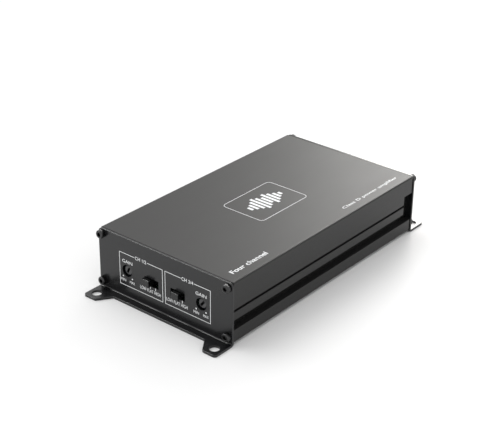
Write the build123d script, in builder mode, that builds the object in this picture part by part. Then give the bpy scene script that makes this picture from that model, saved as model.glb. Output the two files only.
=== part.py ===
from build123d import *
import os

os.makedirs("parts", exist_ok=True)

# Compact four-channel car amplifier, in millimetres.
# X is the width, Y the length with the control plate facing -Y, Z is up.
# The origin is on the mounting plane, under the middle of the amplifier.

# Overall sizes
plate_width = 107.0  # the end plates and their ears
height = 42.0  # mounting plane to the roof
length = 188.0  # between the outer faces of the two end plates
sheet = 1.5  # thickness of the bent end plates
gap = 0.1  # between pieces that slide or drop together
press = 0.02  # between pieces that are pushed together
cutout_play = 0.2  # around what stands through the rear plate

# End plates
bend_inside = 0.8  # radius inside the bend between plate and foot flange
plate_corner = 3.0
plate_edge = 0.25  # rounding around the outer face and the tops of the ears
flange_reach = 5.6  # foot flange, out from the outer face
ear_reach = 15.0  # ears, out from the outer face
ear_root = 37.2  # X where an ear leaves the flange
ear_tip = 43.6  # X of the inner corner of an ear's tip
ear_corners = (2.0, 2.0, 1.5)  # radii at the tip's outer corner, its inner corner and the root
ear_hole_x = 47.9
ear_hole_reach = 9.1
ear_hole = 3.25  # radius, for an M6 screw

# Housing extrusion
housing_width = 106.0
housing_base = 2.0  # Z of the lower edges
housing_length = length - 2 * sheet
roof = 2.6  # thickness of the roof
roof_edge = 1.2  # radius along the top edges
base_edge = 0.5
fin_edge = 0.15  # radius along the channel and the groove
end_rebate = 0.4  # width and depth of the step round the ends
upper_wall = 2.7
flank_wall = 5.6  # thick lower walls, which carry the fins
flank_top = 31.5
channel_depth = 4.4
channel_low, channel_high = 10.2, 16.8
groove_depth = 2.5
groove_low, groove_high = 22.2, 23.8
relief_length = 9.3  # the fins are milled back this far at the rear end
relief_high = 30.0
boss = 7.2  # square screw bosses in the upper corners
board_slot = 1.5  # depth of the slots in the flanks
cover_slot = 1.0

# Corner screws of the end plates, M3 socket heads
screw_x = 50.2
screw_low, screw_high = 6.2, 38.7
screw_spots = [(x, z) for z in (screw_low, screw_high) for x in (-screw_x, screw_x)]
thread = 1.5  # radius
thread_play = 0.05
screw_clearance = 0.2
head, head_height = 2.75, 3.0
head_edge = 0.35
hexagon, hexagon_depth = 2.5, 1.6  # across flats
screw_length = 12.0
screw_run_out = 2.0  # depth of the tapped holes beyond the screws' ends

# Circuit boards, base cover and insulation
board = 1.6  # thickness of both circuit boards
board_low = 7.6
board_high = board_low + board
board_front, board_rear = -81.5, 88.0
board_corner = 1.5
cover = 1.5
cover_low = 3.25
cover_corner = 1.0
insulation = (91.0, 168.0, 0.4)
control_y = -83.6  # front of the upright control board
control_size = (84.0, 25.0)
control_z = 19.0
header = (40.6, 2.6, 2.5)  # plastic strip of the pin header between the boards
header_pins, header_pitch, header_pin = 16, 2.54, 0.64
header_bend = 1.0  # how far the pins stand off the strip

# Level controls
pot_x, pot_z = 29.9, 19.7
pot_hole = 4.0
shaft = 3.0  # radius
shaft_play = 0.05
shaft_recess = 1.2  # end of the shaft, behind the outer face of the plate
shaft_edge = 0.25
collar, collar_length = 4.0, 1.4
collar_play = 0.2
driver_slot = (1.6, 4.4, 2.0)  # width, length, depth
pot_angles = {"left": 26, "right": 37}  # clockwise from 12 o'clock, seen from the front
pot_body, pot_depth, pot_wall = 10.0, 6.8, 1.8
pot_front = control_y - pot_depth

# Filter switches
switch_x = {"left": -9.7, "right": 11.4}
switch_z = 19.0
window = (11.4, 5.5)
knob = (5.6, 4.4)
knob_proud = 3.0
knob_edge = 0.4
knob_pitch = 2.6  # between the switch's three positions
knob_offsets = {"left": -knob_pitch, "right": 0.0}
knob_play = (0.3, 0.2)
can, can_depth, can_wall = (15.6, 6.8), 5.4, 0.5
can_back = 1.0  # insulating plate at the back of the can
can_front = control_y - can_depth
slider = (8.0, 5.4, 1.4)
slider_play = 0.15

# Phono inputs
rca_spots = [(x, z) for z in (17.2, 31.2) for x in (-36.0, -22.0)]
rca_hole = 4.6
rca_shell, rca_tail, rca_bore = 4.15, 3.95, 3.65  # radii outside the plate, inside it and of the bore
rca_reach = 8.0  # out from the rear plate
rca_block, rca_block_y = (28.0, 27.0), 78.0
rca_block_centre = (-29.0, board_high + gap + rca_block[1] / 2)
shell_start = 84.0
shell_end = length / 2 + rca_reach
rim_edge = 0.3
contact, contact_bore = 2.0, 1.6  # radii of the socket for the plug's centre pin
contact_floor = 3.0
insulator_recess, contact_recess = 0.6, 1.0  # behind the shells' outer ends

# Speaker socket
proud = 1.5  # connector bodies, out from the rear plate
socket_face = length / 2 + proud
socket_back = 79.0
speaker_size = (19.6, 12.2)
speaker_centre = (-1.2, board_high + gap + speaker_size[1] / 2)
speaker_mouth, mouth_depth = (17.2, 9.2), 11.0
speaker_pitch = 4.2
speaker_pin, pin_recess = 1.1, 5.4
pin_legs = (1.0, 3.4)  # how far behind the socket each row of pins turns down
latch_slot = (6.0, 1.2, 3.0)
pin_spots = [
    (speaker_centre[0] + (i - 1.5) * speaker_pitch, speaker_centre[1] + row * speaker_pitch / 2)
    for row in (-1, 1) for i in range(4)
]

# Power terminal
terminal_size = (26.0, 15.0)
terminal_centre = (23.2, board_high + gap + terminal_size[1] / 2)
terminal_pitch = 8.2
pole_x = [terminal_centre[0] + i * terminal_pitch for i in (-1, 0, 1)]
entry, entry_floor = (6.2, 6.4), 83.0
entry_z = terminal_centre[1] - 3.2
clamp_face, clamp_hole, clamp_floor = 92.5, (4.8, 4.8), 1.0
clamp_screw, clamp_screw_length = 2.1, 5.6
clamp_screw_z = terminal_centre[1] + 4.2
clamp_screw_bore, clamp_screw_depth, clamp_screw_recess = 2.3, 8.0, 1.8
clamp_driver = (0.8, 4.4, 0.9)

# Blade fuse
fuse_centre, fuse_size = (41.0, 22.4), (5.1, 19.1)
fuse_neck = (3.9, 16.7, 4.0)
fuse_top = 6.5
fuse_grip = (3.6, 12.0, 0.6)
fuse_blade, blade_length = (0.7, 5.2), 7.5
blade_spots = [(fuse_centre[0], fuse_centre[1] + z) for z in (-6.6, 6.6)]
holder_width, holder_high = 8.0, 34.6
holder_back, holder_face, holder_slot = 76.0, 90.0, 9.0

# Power light
light_spot = (-1.2, 31.0)
light, light_base, light_tip = 1.5, 90.5, 95.0
light_flange = (1.9, 1.0)  # radius and thickness
light_lead, light_lead_pitch, light_lead_run = 0.5, 1.28, 14.0

# Power transistors, clamped to the flanks
flank = housing_width / 2 - flank_wall  # inner face of the thick lower walls
pad = (64.0, 17.0, 0.4)
device_y = [-45.0, -29.0, -13.0, 3.0]
device, device_z = (10.0, 9.0, 4.5), 19.5
device_tab, device_tab_z = (10.0, 4.0, 1.3), 26.0
device_lead, device_lead_pitch, device_lead_in = (0.8, 0.5), 2.54, 2.2
device_face = flank - pad[2] - device[2]
bar = (62.0, 6.0, 1.6)
bar_centre = ((device_y[0] + device_y[-1]) / 2, device_z)
bar_screws = [((a + b) / 2, bar_centre[1]) for a, b in zip(device_y, device_y[1:])]
bar_head = 2.4
bar_thread_depth = 4.0  # of the tapped holes in the flanks

# Wound parts: centre, core radii, core height, wire build-up, number of windings, arc of each
transformer = ((-4.0, 52.0), 15.0, 7.0, 11.0, 2.0, 2, 150.0)
choke = ((30.0, 58.0), 9.0, 4.5, 8.0, 1.4, 1, 300.0)
inductor = (8.0, 4.0, 7.0, 1.2, 1, 300.0)
inductor_spots = [(x, y) for x in (-18.0, 18.0) for y in (-8.0, 16.0)]
wire_play = 0.05

# Capacitors: spots, radius and height
rail_cans = ([(x, -32.0) for x in (-27.0, -9.0, 9.0, 27.0)], 8.0, 24.0)
input_cans = ([(x, 38.0) for x in (16.0, 28.0, 40.0)], 5.0, 20.0)
signal_cans = ([(x, -72.0) for x in (-36.0, -28.0, 28.0, 36.0)], 2.5, 11.0)
crimp_depth, crimp_low, crimp_high, can_edge = 0.5, 1.6, 2.6, 0.8
film, film_height = (5.0, 7.2), 9.0
film_spots = [(x, y) for x in (-38.0, 38.0) for y in (14.0, 24.0)] + [(0.0, -8.0), (0.0, 16.0)]

# Chips: spots, body and number of legs
power_chips = ([(-18.0, -54.0), (18.0, -54.0)], (10.0, 18.0, 2.6), 28)
small_chips = ([(x, -70.0) for x in (-16.0, -5.0, 5.0, 16.0)] + [(-34.0, 64.0)], (3.9, 8.7, 1.5), 14)
leg_pitch, leg_width, leg_high, leg_thick, leg_shoulder, stand_off = 1.27, 0.4, 0.6, 0.3, 0.8, 0.2


def upright(y):
    """A plane across the amplifier at y. It faces the front, so the rear is in its negative direction."""
    return Plane.XZ.offset(-y)


def floor(z):
    """A level plane at height z."""
    return Plane.XY.offset(z)


def wall(x):
    """A plane along the amplifier at x, facing +X."""
    return Plane.YZ.offset(x)


front_face, rear_face = upright(-length / 2), upright(length / 2)
front_end, rear_end = upright(-housing_length / 2), upright(housing_length / 2)


def slab(plane, centre, size, depth, mode=Mode.ADD):
    """A block on a plane: its outline's centre and size, and how far it goes along the plane's normal."""
    with BuildSketch(plane) as outline:
        with Locations(centre):
            Rectangle(*size)
    extrude(outline.sketch, amount=depth, mode=mode)


def rods(plane, spots, radius, depth, mode=Mode.ADD):
    """Round rods or holes at some spots of a plane."""
    with BuildSketch(plane) as outline:
        with Locations(*spots):
            Circle(radius)
    extrude(outline.sketch, amount=depth, mode=mode)


# ---------------------------------------------------------------- housing and end plates

# One aluminium extrusion: a roof and two thick flanks with fins, open below.
with BuildPart() as housing:
    half = housing_width / 2
    with BuildSketch(Plane.XZ) as profile:
        with Locations((0, (housing_base + height) / 2)):
            Rectangle(housing_width, height - housing_base)
        fillet(profile.vertices().group_by(Axis.Y)[-1], roof_edge)
        fillet(profile.vertices().group_by(Axis.Y)[0], base_edge)
        with Locations((0, (flank_top + height - roof) / 2)):
            Rectangle(2 * (half - upper_wall), height - roof - flank_top, mode=Mode.SUBTRACT)
        with Locations((0, (housing_base + flank_top) / 2)):
            Rectangle(2 * flank, flank_top - housing_base, mode=Mode.SUBTRACT)
        for side in (-1, 1):
            with Locations((side * (half - boss / 2), height - roof_edge - boss / 2)):
                Rectangle(boss, boss)
            with Locations((side * (half - channel_depth / 2), (channel_low + channel_high) / 2)):
                Rectangle(channel_depth, channel_high - channel_low, mode=Mode.SUBTRACT)
            with Locations((side * (half - groove_depth / 2), (groove_low + groove_high) / 2)):
                Rectangle(groove_depth, groove_high - groove_low, mode=Mode.SUBTRACT)
            with Locations((side * (flank + board_slot / 2), board_low + board / 2)):
                Rectangle(board_slot, board + 2 * gap, mode=Mode.SUBTRACT)
            with Locations((side * (flank + cover_slot / 2), cover_low + cover / 2)):
                Rectangle(cover_slot, cover + gap, mode=Mode.SUBTRACT)
        fin_corners = profile.vertices().filter_by_position(Axis.Y, channel_low - gap, groove_high + gap)
        fillet(fin_corners.group_by(Axis.X)[0] + fin_corners.group_by(Axis.X)[-1], fin_edge)
    extrude(amount=housing_length / 2, both=True)
    screw_depth = screw_length + screw_run_out
    rods(front_end, screw_spots, thread + thread_play, -screw_depth, Mode.SUBTRACT)
    rods(rear_end, screw_spots, thread + thread_play, screw_depth, Mode.SUBTRACT)
    for side in (-1, 1):
        rods(wall(side * flank), bar_screws, thread + thread_play, side * bar_thread_depth, Mode.SUBTRACT)
        # the fins are milled back to the channel's floor beside the rear plate
        slab(rear_end, (side * (half - channel_depth / 2), (channel_low + relief_high) / 2),
             (channel_depth, relief_high - channel_low), relief_length, Mode.SUBTRACT)
    for y in (-1, 1):
        rebate_y = y * (housing_length - end_rebate) / 2
        slab(floor(height), (0, rebate_y), (housing_width, end_rebate), -end_rebate, Mode.SUBTRACT)
        for side in (-1, 1):
            slab(wall(side * half), (rebate_y, height / 2), (end_rebate, height), -side * end_rebate,
                 Mode.SUBTRACT)

housing.part.label = "housing"
export_step(housing.part, "parts/housing.step")

with BuildPart() as base_cover:
    slab(floor(cover_low), (0, 0), (2 * (flank + cover_slot - gap), housing_length - 2 * gap), cover)
    fillet(base_cover.edges().filter_by(Axis.Z), cover_corner)

base_cover.part.label = "base_cover"
export_step(base_cover.part, "parts/base_cover.step")


def end_plate_blank():
    """One sheet, bent out at the foot into a narrow flange with an ear at each end. It stands in front."""
    face = -length / 2
    with BuildPart() as blank:
        with BuildSketch(Plane.YZ) as section:
            with Locations((face + sheet / 2, height / 2)):
                Rectangle(sheet, height)
            with Locations((face + sheet - (ear_reach + sheet) / 2, sheet / 2)):
                Rectangle(ear_reach + sheet, sheet)
            fillet(section.vertices().sort_by_distance((face, sheet))[0], bend_inside)
            fillet(section.vertices().sort_by_distance((face + sheet, 0))[0], bend_inside + sheet)
        extrude(amount=plate_width / 2, both=True)
        fillet(blank.edges().filter_by(Axis.Y).group_by(Axis.Z)[-1], plate_corner)
        # between the ears the flange is narrow
        root, tip = face - flange_reach, face - ear_reach
        with BuildSketch(Plane.XY):
            with BuildLine():
                Polyline(
                    (-ear_root, root), (ear_root, root), (ear_tip, tip), (ear_tip, tip - gap),
                    (-ear_tip, tip - gap), (-ear_tip, tip), close=True,
                )
            make_face()
        extrude(amount=sheet, mode=Mode.SUBTRACT)
        for x, y, radius in zip((plate_width / 2, ear_tip, ear_root), (tip, tip, root), ear_corners):
            corners = blank.edges().filter_by(Axis.Z)
            fillet([corners.sort_by_distance((side * x, y, sheet / 2))[0] for side in (-1, 1)], radius)
        outer_face = blank.faces().filter_by(Plane.XZ).sort_by(SortBy.AREA)[-2:].sort_by(Axis.Y)[0]
        fillet(outer_face.edges().group_by(Axis.Z)[-1], plate_edge)
        ear_holes = [(side * ear_hole_x, face - ear_hole_reach) for side in (-1, 1)]
        rods(Plane.XY, ear_holes, ear_hole, sheet, Mode.SUBTRACT)
        rods(front_face, screw_spots, thread + screw_clearance, -sheet, Mode.SUBTRACT)
    return blank.part


end_plate = end_plate_blank()

with BuildPart() as front_plate:
    add(end_plate)
    rods(front_face, [(-pot_x, pot_z), (pot_x, pot_z)], pot_hole, -sheet, Mode.SUBTRACT)
    for x in switch_x.values():
        slab(front_face, (x, switch_z), window, -sheet, Mode.SUBTRACT)

front_plate.part.label = "front_plate"
export_step(front_plate.part, "parts/front_plate.step")

with BuildPart() as rear_plate:
    mirror(end_plate, about=Plane.XZ)
    rods(rear_face, rca_spots, rca_hole, sheet, Mode.SUBTRACT)
    rods(rear_face, [light_spot], light + gap, sheet, Mode.SUBTRACT)
    for centre, size in (
        (speaker_centre, speaker_size), (terminal_centre, terminal_size), (fuse_centre, fuse_size),
    ):
        slab(rear_face, centre, (size[0] + 2 * cutout_play, size[1] + 2 * cutout_play), sheet, Mode.SUBTRACT)

rear_plate.part.label = "rear_plate"
export_step(rear_plate.part, "parts/rear_plate.step")


def cap_screws():
    """Four socket-head screws through the front plate, their heads standing on its outer face."""
    with BuildPart() as screws:
        rods(front_face, screw_spots, head, head_height)
        fillet(screws.edges().filter_by(GeomType.CIRCLE).group_by(Axis.Y)[0], head_edge)
        with BuildSketch(front_face.offset(head_height)):
            with Locations(*screw_spots):
                RegularPolygon(hexagon / 2, 6, major_radius=False)
        extrude(amount=-hexagon_depth, mode=Mode.SUBTRACT)
        rods(front_face, screw_spots, thread, -screw_length)
    return screws.part


screw_set = cap_screws()

with BuildPart() as front_plate_screws:
    add(screw_set)

front_plate_screws.part.label = "front_plate_screws"
export_step(front_plate_screws.part, "parts/front_plate_screws.step")

with BuildPart() as rear_plate_screws:
    mirror(screw_set, about=Plane.XZ)

rear_plate_screws.part.label = "rear_plate_screws"
export_step(rear_plate_screws.part, "parts/rear_plate_screws.step")

# ---------------------------------------------------------------- circuit boards

with BuildPart() as main_board:
    board_size = (2 * (flank + board_slot - 2 * gap), board_rear - board_front)
    slab(floor(board_low), (0, (board_front + board_rear) / 2), board_size, board)
    fillet(main_board.edges().filter_by(Axis.Z), board_corner)

main_board.part.label = "main_board"
export_step(main_board.part, "parts/main_board.step")

with BuildPart() as insulation_sheet:
    slab(floor(cover_low + cover), (0, 0), insulation[:2], insulation[2])
    fillet(insulation_sheet.edges().filter_by(Axis.Z), board_corner)

insulation_sheet.part.label = "insulation_sheet"
export_step(insulation_sheet.part, "parts/insulation_sheet.step")

with BuildPart() as control_board:
    slab(upright(control_y), (0, control_z), control_size, -board)
    fillet(control_board.edges().filter_by(Axis.Y), board_corner)

control_board.part.label = "control_board"
export_step(control_board.part, "parts/control_board.step")

# Right-angle pin header that carries the control board on the main board.
with BuildPart() as board_link_header:
    wide, tall, deep = header
    back = control_y + board + deep
    slab(upright(back), (0, board_high + tall / 2), (wide, tall), deep)
    for i in range(header_pins):
        x = (i - (header_pins - 1) / 2) * header_pitch
        slab(upright(back + header_bend), (x, board_high + tall / 2), (header_pin, header_pin), header_bend)
        slab(floor(board_high), (x, back + header_bend + header_pin / 2), (header_pin, header_pin),
             (tall + header_pin) / 2)

board_link_header.part.label = "board_link_header"
export_step(board_link_header.part, "parts/board_link_header.step")

# ---------------------------------------------------------------- controls

for name, side in (("left", -1), ("right", 1)):
    spot = [(side * pot_x, pot_z)]
    collar_front = pot_front + pot_wall + collar_play
    shaft_end = -length / 2 + shaft_recess

    # square body with a bore for the shaft and a wider chamber for the shaft's collar
    with BuildPart() as pot:
        slab(upright(control_y), spot[0], (pot_body, pot_body), pot_depth)
        fillet(pot.edges().filter_by(Axis.Y), board_corner)
        rods(upright(pot_front), spot, shaft + shaft_play, -pot_wall, Mode.SUBTRACT)
        rods(upright(pot_front + pot_wall), spot, collar + collar_play, -(collar_length + 2 * collar_play),
             Mode.SUBTRACT)

    pot.part.label = f"level_pot_body_{name}"
    export_step(pot.part, f"parts/level_pot_body_{name}.step")

    with BuildPart() as spindle:
        rods(upright(collar_front), spot, collar, -collar_length)
        rods(upright(shaft_end), spot, shaft, -(collar_front - shaft_end))
        chamfer(spindle.edges().filter_by(GeomType.CIRCLE).group_by(Axis.Y)[0], shaft_edge)
        with BuildSketch(upright(shaft_end)):
            with Locations(Location((*spot[0], 0), (0, 0, -pot_angles[name]))):
                Rectangle(*driver_slot[:2])
        extrude(amount=-driver_slot[2], mode=Mode.SUBTRACT)

    spindle.part.label = f"level_pot_shaft_{name}"
    export_step(spindle.part, f"parts/level_pot_shaft_{name}.step")

for name, x in switch_x.items():
    spot = (x, switch_z)
    inside = can_front + can_wall

    # steel can, hollow for the slider, with a window for the knob
    with BuildPart() as switch:
        slab(upright(control_y), spot, can, can_depth)
        fillet(switch.edges().filter_by(Axis.Y), can_wall)
        slab(upright(inside), spot, (can[0] - 2 * can_wall, can[1] - 2 * can_wall),
             -(can_depth - can_wall - can_back), Mode.SUBTRACT)
        opening = (knob[0] + 2 * (knob_pitch + knob_play[0]), knob[1] + 2 * knob_play[1])
        slab(upright(can_front), spot, opening, -can_wall, Mode.SUBTRACT)

    switch.part.label = f"filter_switch_body_{name}"
    export_step(switch.part, f"parts/filter_switch_body_{name}.step")

    with BuildPart() as slide:
        place = (spot[0] + knob_offsets[name], spot[1])
        base = inside + slider_play
        slab(upright(base), place, slider[:2], -slider[2])
        slab(upright(base), place, knob, base + length / 2 + knob_proud)
        fillet(slide.faces().sort_by(Axis.Y)[0].edges(), knob_edge)

    slide.part.label = f"filter_switch_knob_{name}"
    export_step(slide.part, f"parts/filter_switch_knob_{name}.step")

# ---------------------------------------------------------------- phono inputs

shell_length = shell_end - shell_start

with BuildPart() as rca_housing:
    block_depth = length / 2 - sheet - gap - rca_block_y
    slab(upright(rca_block_y), rca_block_centre, rca_block, -block_depth)
    fillet(rca_housing.edges().filter_by(Axis.Y), board_corner)
    rods(upright(shell_start), rca_spots, rca_tail + press, -block_depth, Mode.SUBTRACT)

rca_housing.part.label = "rca_block"
export_step(rca_housing.part, "parts/rca_block.step")

with BuildPart() as rca_shells:
    rods(rear_face, rca_spots, rca_shell, -rca_reach)
    fillet(rca_shells.edges().filter_by(GeomType.CIRCLE).group_by(Axis.Y)[-1], rim_edge)
    rods(rear_face, rca_spots, rca_tail, length / 2 - shell_start)
    rods(upright(shell_start), rca_spots, rca_bore, -shell_length, Mode.SUBTRACT)

rca_shells.part.label = "rca_shells"
export_step(rca_shells.part, "parts/rca_shells.step")

for colour, column in (("white", 0), ("red", 1)):
    with BuildPart() as insulators:
        spots = rca_spots[column::2]
        rods(upright(shell_start), spots, rca_bore - press, -(shell_length - insulator_recess))
        rods(upright(shell_start), spots, contact + press, -shell_length, Mode.SUBTRACT)

    insulators.part.label = f"rca_insulators_{colour}"
    export_step(insulators.part, f"parts/rca_insulators_{colour}.step")

with BuildPart() as rca_contacts:
    rods(upright(shell_start), rca_spots, contact, -(shell_length - contact_recess))
    rods(upright(shell_start + contact_floor), rca_spots, contact_bore, -shell_length, Mode.SUBTRACT)

rca_contacts.part.label = "rca_contacts"
export_step(rca_contacts.part, "parts/rca_contacts.step")

# ---------------------------------------------------------------- speaker socket and power terminal

with BuildPart() as speaker_socket:
    slab(upright(socket_back), speaker_centre, speaker_size, socket_back - socket_face)
    fillet(speaker_socket.edges().filter_by(Axis.Y), can_wall)
    slab(upright(socket_face), speaker_centre, speaker_mouth, mouth_depth, Mode.SUBTRACT)
    for spot in pin_spots:
        slab(upright(socket_back), spot, (speaker_pin, speaker_pin), socket_back - socket_face, Mode.SUBTRACT)
    latch_z = speaker_centre[1] + (speaker_mouth[1] + latch_slot[1]) / 2 - gap
    slab(upright(socket_face), (speaker_centre[0], latch_z), latch_slot[:2], latch_slot[2], Mode.SUBTRACT)

speaker_socket.part.label = "speaker_socket"
export_step(speaker_socket.part, "parts/speaker_socket.step")

with BuildPart() as speaker_pins:
    thick = speaker_pin - press
    for i, (x, z) in enumerate(pin_spots):
        leg_y = socket_back - pin_legs[i // 4]
        tip_y = socket_face - pin_recess
        slab(upright(tip_y), (x, z), (thick, thick), tip_y - leg_y)
        slab(floor(board_high), (x, leg_y - thick / 2), (thick, thick), z + thick / 2 - board_high)

speaker_pins.part.label = "speaker_pins"
export_step(speaker_pins.part, "parts/speaker_pins.step")

with BuildPart() as terminal_block:
    slab(upright(socket_back), terminal_centre, terminal_size, socket_back - socket_face)
    fillet(terminal_block.edges().filter_by(Axis.Y), can_wall)
    for x in pole_x:
        slab(upright(socket_face), (x, entry_z), entry, socket_face - entry_floor, Mode.SUBTRACT)
    rods(upright(socket_face), [(x, clamp_screw_z) for x in pole_x], clamp_screw_bore, clamp_screw_depth,
         Mode.SUBTRACT)

terminal_block.part.label = "power_terminal_block"
export_step(terminal_block.part, "parts/power_terminal_block.step")

with BuildPart() as terminal_clamps:
    clamp_length = clamp_face - entry_floor - gap
    for x in pole_x:
        slab(upright(clamp_face), (x, entry_z), (entry[0] - 2 * gap, entry[1] - 2 * gap), clamp_length)
        slab(upright(clamp_face), (x, entry_z), clamp_hole, clamp_length - clamp_floor, Mode.SUBTRACT)

terminal_clamps.part.label = "power_terminal_clamps"
export_step(terminal_clamps.part, "parts/power_terminal_clamps.step")

with BuildPart() as terminal_screws:
    top = upright(socket_face - clamp_screw_recess)
    rods(top, [(x, clamp_screw_z) for x in pole_x], clamp_screw, clamp_screw_length)
    chamfer(terminal_screws.edges().filter_by(GeomType.CIRCLE).group_by(Axis.Y)[-1], shaft_edge)
    for x in pole_x:
        slab(top, (x, clamp_screw_z), clamp_driver[:2], clamp_driver[2], Mode.SUBTRACT)

terminal_screws.part.label = "power_terminal_screws"
export_step(terminal_screws.part, "parts/power_terminal_screws.step")

# ---------------------------------------------------------------- fuse and power light

with BuildPart() as fuse_holder:
    holder_centre = (fuse_centre[0], (board_high + holder_high) / 2)
    holder_size = (holder_width, holder_high - board_high)
    slab(upright(holder_back), holder_centre, holder_size, holder_back - holder_face)
    fillet(fuse_holder.edges().filter_by(Axis.Y), can_wall)
    for spot in blade_spots:
        slab(upright(holder_face), spot, (fuse_blade[0] + 2 * press, fuse_blade[1] + 2 * press), holder_slot,
             Mode.SUBTRACT)

fuse_holder.part.label = "fuse_holder"
export_step(fuse_holder.part, "parts/fuse_holder.step")

with BuildPart() as fuse_body:
    fuse_base = holder_face + gap
    slab(upright(fuse_base), fuse_centre, fuse_neck[:2], -fuse_neck[2])
    slab(upright(fuse_base + fuse_neck[2]), fuse_centre, fuse_size, -fuse_top)
    fillet(fuse_body.edges().filter_by(Axis.Y), knob_edge)
    fillet(fuse_body.faces().sort_by(Axis.Y)[-1].edges(), rim_edge)
    grip_y = fuse_base + fuse_neck[2] + fuse_top / 2
    for side in (-1, 1):
        slab(wall(fuse_centre[0] + side * fuse_size[0] / 2), (grip_y, fuse_centre[1]), fuse_grip[:2],
             -side * fuse_grip[2], Mode.SUBTRACT)

fuse_body.part.label = "fuse_body"
export_step(fuse_body.part, "parts/fuse_body.step")

with BuildPart() as fuse_blades:
    for spot in blade_spots:
        slab(upright(holder_face + gap), spot, fuse_blade, blade_length)

fuse_blades.part.label = "fuse_blades"
export_step(fuse_blades.part, "parts/fuse_blades.step")

with BuildPart() as power_light:
    rods(upright(light_base), [light_spot], light_flange[0], -light_flange[1])
    rods(upright(light_base), [light_spot], light, light_base - light_tip)
    fillet(power_light.edges().filter_by(GeomType.CIRCLE).group_by(Axis.Y)[-1], light - gap)

power_light.part.label = "power_light"
export_step(power_light.part, "parts/power_light.step")

with BuildPart() as power_light_leads:
    x0, z0 = light_spot
    for x in (x0 - light_lead_pitch / 2, x0 + light_lead_pitch / 2):
        slab(upright(light_base), (x, z0), (light_lead, light_lead), light_lead_run)
        slab(floor(board_high), (x, light_base - light_lead_run), (light_lead, light_lead),
             z0 + light_lead / 2 - board_high)

power_light_leads.part.label = "power_light_leads"
export_step(power_light_leads.part, "parts/power_light_leads.step")

# ---------------------------------------------------------------- power transistors

with BuildPart() as thermal_pads:
    for side in (-1, 1):
        slab(wall(side * flank), bar_centre, pad[:2], -side * pad[2])
    rods(wall(-flank), bar_screws, thread + screw_clearance, 2 * flank, Mode.SUBTRACT)

thermal_pads.part.label = "thermal_pads"
export_step(thermal_pads.part, "parts/thermal_pads.step")

with BuildPart() as power_transistors:
    for side in (-1, 1):
        back = side * (flank - pad[2])
        for y in device_y:
            slab(wall(back), (y, device_z), device[:2], -side * device[2])
            slab(wall(back), (y, device_tab_z), device_tab[:2], -side * device_tab[2])
            lead_top = device_z - device[1] / 2
            lead_z = (board_high + lead_top) / 2
            for i in (-1, 0, 1):
                slab(wall(back - side * device_lead_in), (y + i * device_lead_pitch, lead_z),
                     (device_lead[0], lead_top - board_high), -side * device_lead[1])

power_transistors.part.label = "power_transistors"
export_step(power_transistors.part, "parts/power_transistors.step")

with BuildPart() as clamp_bars:
    for side in (-1, 1):
        slab(wall(side * device_face), bar_centre, bar[:2], -side * bar[2])
    rods(wall(-flank), bar_screws, thread + screw_clearance, 2 * flank, Mode.SUBTRACT)

clamp_bars.part.label = "clamp_bars"
export_step(clamp_bars.part, "parts/clamp_bars.step")

with BuildPart() as clamp_screws:
    for side in (-1, 1):
        seat = side * (device_face - bar[2])
        reach = bar[2] + device[2] + pad[2] + bar_thread_depth - knob_edge
        rods(wall(seat), bar_screws, head, -side * bar_head)
        rods(wall(seat), bar_screws, thread, side * reach)
        rods(wall(seat - side * bar_head), bar_screws, hexagon / 2, side * bar_head / 2, Mode.SUBTRACT)

clamp_screws.part.label = "clamp_screws"
export_step(clamp_screws.part, "parts/clamp_screws.step")

# ---------------------------------------------------------------- wound parts


def ring(outer, inner, low, high, turn=360.0):
    """A ring of rectangular section round the Z axis, or an arc of one."""
    with BuildPart() as hoop:
        with BuildSketch(Plane.XZ):
            with Locations(((outer + inner) / 2, (low + high) / 2)):
                Rectangle(outer - inner, high - low)
        revolve(axis=Axis.Z, revolution_arc=turn)
    return hoop.part


def toroid(centre, outer, inner, tall, wire, windings, span):
    """A ring core that lies on the main board, and the windings that wrap it."""
    low = board_high + wire
    high = low + tall
    core = ring(outer, inner, low, high)
    hollow = ring(outer + wire_play, inner - wire_play, low - wire_play, high + wire_play)
    coil = ring(outer + wire, inner - wire, low - wire, high + wire, span) - hollow
    place = Location((*centre, 0))
    coils = [coil.rotate(Axis.Z, i * 360.0 / windings).moved(place) for i in range(windings)]
    return core.moved(place), coils


inductors = [toroid(spot, *inductor) for spot in inductor_spots]
wound = {
    "transformer_core": [toroid(*transformer)[0]],
    "transformer_windings": toroid(*transformer)[1],
    "input_choke_core": [toroid(*choke)[0]],
    "input_choke_winding": toroid(*choke)[1],
    "output_inductor_cores": [core for core, coils in inductors],
    "output_inductor_windings": [coil for core, coils in inductors for coil in coils],
}

for name, pieces in wound.items():
    with BuildPart() as wound_part:
        add(pieces)

    wound_part.part.label = name
    export_step(wound_part.part, f"parts/{name}.step")

# ---------------------------------------------------------------- capacitors and chips


def electrolytics(spots, radius, tall):
    """Cans standing on the main board, each with the groove that crimps its seal."""
    crimp = ring(radius + crimp_depth, radius - crimp_depth, board_high + crimp_low, board_high + crimp_high)
    with BuildPart() as cans:
        rods(floor(board_high), spots, radius, tall)
        fillet(cans.edges().filter_by(GeomType.CIRCLE).group_by(Axis.Z)[-1], can_edge)
        for spot in spots:
            add(crimp.moved(Location((*spot, 0))), mode=Mode.SUBTRACT)
    return cans.part


for name, cans in (("rail", rail_cans), ("input", input_cans), ("signal", signal_cans)):
    standing = electrolytics(*cans)
    with BuildPart() as capacitors:
        add(standing)

    capacitors.part.label = f"{name}_capacitors"
    export_step(capacitors.part, f"parts/{name}_capacitors.step")

with BuildPart() as film_capacitors:
    for spot in film_spots:
        slab(floor(board_high), spot, film, film_height)
    fillet(film_capacitors.edges().filter_by(Axis.Z), can_wall)

film_capacitors.part.label = "film_capacitors"
export_step(film_capacitors.part, "parts/film_capacitors.step")


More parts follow.
